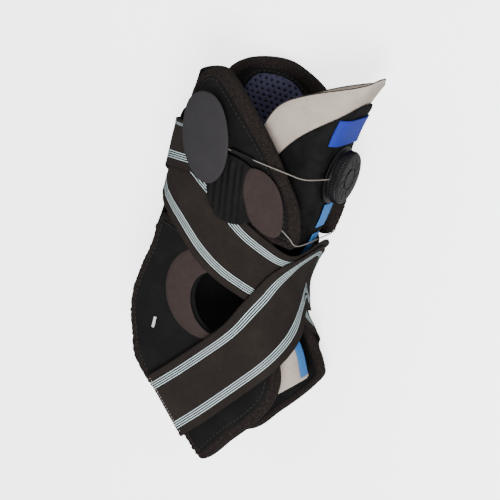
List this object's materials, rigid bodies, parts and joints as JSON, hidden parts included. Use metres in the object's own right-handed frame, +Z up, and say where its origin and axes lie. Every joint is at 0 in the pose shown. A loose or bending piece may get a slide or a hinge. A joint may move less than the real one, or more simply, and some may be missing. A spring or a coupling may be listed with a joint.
{
  "type": "ankle foot orthosis",
  "caption": "Soft laced ankle foot orthosis with padded side wings, crossing elastic straps, a padded tongue and a dial that winds in the lace, lying on its side.",
  "frame": {"origin": "centre of the bounding box's bottom face, on the ground under the brace as it lies on its far side", "axes": "+X points forward to the toes, +Y runs up the leg along the longest side, +Z points up from the far side, which rests on the ground, to the near side"},
  "size_m": [0.1478, 0.2992, 0.0916],
  "materials": {
    "shell_fabric": "smooth black knitted shell fabric with a dull sheen",
    "lining": "black padded lining",
    "binding": "brown-black brushed velour edge binding",
    "strap": "dark charcoal elastic webbing with pale woven stripes",
    "suede": "grey-brown brushed suede cloth",
    "mesh": "navy perforated spacer mesh",
    "stay": "matt grey plastic stiffener",
    "tongue_lining": "beige brushed lining",
    "tongue_shell": "black coated tongue panel",
    "ribbon": "bright blue woven ribbon",
    "label": "royal blue woven patch",
    "tab_plastic": "smooth dark grey moulded pull tab",
    "hook": "black hook tape",
    "dial_plastic": "satin black moulded plastic",
    "dial_inner": "dark grey moulded plastic",
    "axle_metal": "plain steel",
    "guide": "black lace guide tube",
    "lace": "pale grey coated lace",
    "tag": "white woven tag"
  },
  "bodies": {
    "brace": {"near_side_shell": "shell_fabric", "near_side_liner": "lining", "near_side_binding": "binding", "near_ankle_ring": "suede", "near_strap": "strap", "far_side_shell": "shell_fabric", "far_side_liner": "lining", "far_side_binding": "binding", "far_ankle_ring": "suede", "far_strap": "strap", "rear_panel": "shell_fabric", "rear_binding": "binding", "sole_band": "shell_fabric", "tongue_lower_liner": "tongue_lining", "tongue_lower_panel": "tongue_shell", "ribbon_lower": "ribbon", "ribbon_toe": "ribbon", "size_tag": "tag", "lace": "lace"},
    "near_wing": {"near_wing_shell": "shell_fabric", "near_wing_stay": "stay", "near_wing_binding": "binding", "near_mesh_pad": "mesh", "near_lace_cover": "suede", "near_lace_guide": "guide"},
    "far_wing": {"far_wing_shell": "shell_fabric", "far_wing_stay": "stay", "far_wing_binding": "binding", "far_mesh_pad": "mesh", "far_lace_cover": "suede", "far_lace_guide": "guide"},
    "near_tab": {"near_tab": "tab_plastic", "near_tab_hook": "hook"},
    "tongue_upper": {"tongue_upper_liner": "tongue_lining", "tongue_upper_panel": "tongue_shell", "tongue_label": "label", "ribbon_upper": "ribbon", "dial_base": "dial_plastic"},
    "dial_axle": {"dial_axle": "axle_metal"},
    "dial": {"dial_knob": "dial_plastic", "dial_cap": "dial_plastic", "drive_disc": "dial_inner"},
    "spool": {"lace_spool": "dial_inner"}
  },
  "joints": [
    {"name": "near_wing_close", "type": "hinge", "parent": "brace", "child": "near_wing", "pos_m": [-0.06017, 0.0636, 0.06095], "axis": [0, 1, 0], "range_deg": [0, 2.4], "deforming": ["lace"]},
    {"name": "far_wing_close", "type": "hinge", "parent": "brace", "child": "far_wing", "pos_m": [-0.06017, 0.0636, 0.02621], "axis": [0, -1, 0], "range_deg": [0, 2.4]},
    {"name": "near_tab_peel", "type": "hinge", "parent": "brace", "child": "near_tab", "pos_m": [-0.06211, 0.07873, 0.07758], "axis": [0, -1, 0], "range_deg": [0, 75]},
    {"name": "tongue_tilt", "type": "hinge", "parent": "brace", "child": "tongue_upper", "pos_m": [0.04679, 0.0336, 0.04358], "axis": [0, 0, -1], "range_deg": [0, 20], "deforming": ["lace"]},
    {"name": "dial_pull", "type": "slide", "parent": "tongue_upper", "child": "dial_axle", "axis": [1, 0, 0], "range_m": [0, 0.002]},
    {"name": "dial_turn", "type": "hinge", "parent": "dial_axle", "child": "dial", "pos_m": [0.05051, 0.07573, 0.04358], "axis": [1, 0, 0], "continuous": true},
    {"name": "spool_turn", "type": "hinge", "parent": "tongue_upper", "child": "spool", "pos_m": [0.05051, 0.07573, 0.04358], "axis": [1, 0, 0], "continuous": true}
  ],
  "couplings": [
    {"joint": "far_wing_close", "follows": "near_wing_close", "ratio": 1},
    {"joint": "spool_turn", "follows": "dial_turn", "ratio": 1}
  ]
}
